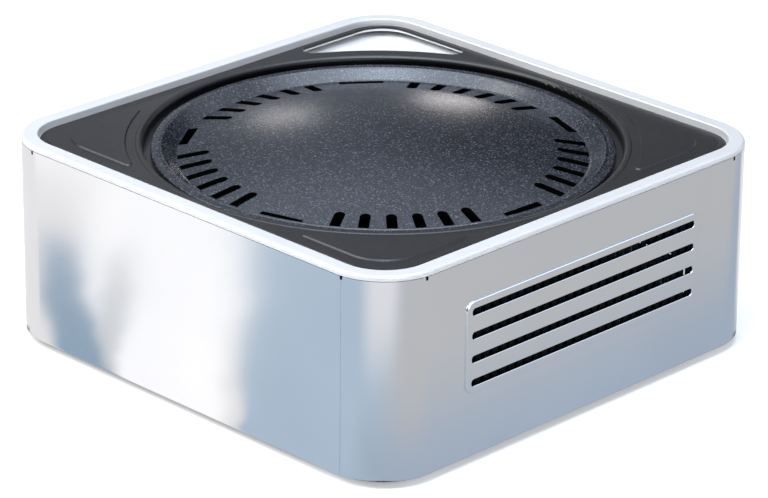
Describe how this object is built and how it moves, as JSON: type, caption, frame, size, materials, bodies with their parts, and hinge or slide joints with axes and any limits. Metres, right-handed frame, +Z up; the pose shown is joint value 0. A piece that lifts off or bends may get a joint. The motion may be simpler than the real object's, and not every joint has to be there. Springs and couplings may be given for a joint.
{
  "type": "portable charcoal grill",
  "caption": "Low square portable charcoal grill with a vented steel housing, lift-out black tray, slotted domed grill plate, fire bowl with grate and a slide-out ash drawer.",
  "frame": {"origin": "on the table under the middle of the housing", "axes": "+Z up; the plain wall with the weld seam faces -Y, the vented walls face +X and -X, the ash drawer opens to +Y"},
  "size_m": [0.3326, 0.33, 0.1303],
  "materials": {
    "housing_steel": "satin",
    "rim_steel": "polished",
    "tray_enamel": "satin black enamel",
    "plate_coating": "speckled non-stick coating, semi-gloss",
    "bowl_enamel": "matt black enamel",
    "grate_iron": "raw",
    "inner_steel": "zinc plated, satin",
    "screen_black": "matt black",
    "foot_rubber": "matt",
    "fastener_zinc": "zinc plated"
  },
  "bodies": {
    "housing": {"housing_wrap": "housing_steel", "top_rim": "rim_steel", "heat_shield": "inner_steel", "hearth_plate": "inner_steel", "drawer_runner_right": "inner_steel", "drawer_runner_left": "inner_steel", "base_plate": "inner_steel", "foot_front": "foot_rubber", "foot_right": "foot_rubber", "foot_rear": "foot_rubber", "foot_left": "foot_rubber", "vent_screen_right": "screen_black", "vent_screen_left": "screen_black", "gusset_right": "inner_steel", "gusset_rear": "inner_steel", "gusset_left": "inner_steel", "gusset_front": "inner_steel", "base_screws": "fastener_zinc", "foot_screws": "fastener_zinc", "foot_nuts": "fastener_zinc", "rim_screws": "fastener_zinc", "shield_rivets": "fastener_zinc", "runner_rivets": "fastener_zinc", "screen_nuts": "fastener_zinc"},
    "top_tray": {"top_tray": "tray_enamel"},
    "grill_plate": {"grill_plate": "plate_coating"},
    "fire_bowl": {"fire_bowl": "bowl_enamel"},
    "charcoal_grate": {"charcoal_grate": "grate_iron"},
    "ash_drawer": {"ash_drawer": "inner_steel", "drawer_front": "housing_steel", "drawer_nuts": "fastener_zinc"}
  },
  "joints": [
    {"name": "top_tray_lift", "type": "slide", "parent": "housing", "child": "top_tray", "axis": [0, 0, 1], "range_m": [0, 0.06]},
    {"name": "grill_plate_lift", "type": "slide", "parent": "top_tray", "child": "grill_plate", "axis": [0, 0, 1], "range_m": [0, 0.06]},
    {"name": "fire_bowl_lift", "type": "slide", "parent": "housing", "child": "fire_bowl", "axis": [0, 0, 1], "range_m": [0, 0.008]},
    {"name": "charcoal_grate_lift", "type": "slide", "parent": "fire_bowl", "child": "charcoal_grate", "axis": [0, 0, 1], "range_m": [0, 0.044]},
    {"name": "ash_drawer_slide", "type": "slide", "parent": "housing", "child": "ash_drawer", "axis": [0, 1, 0], "range_m": [0, 0.16]}
  ]
}
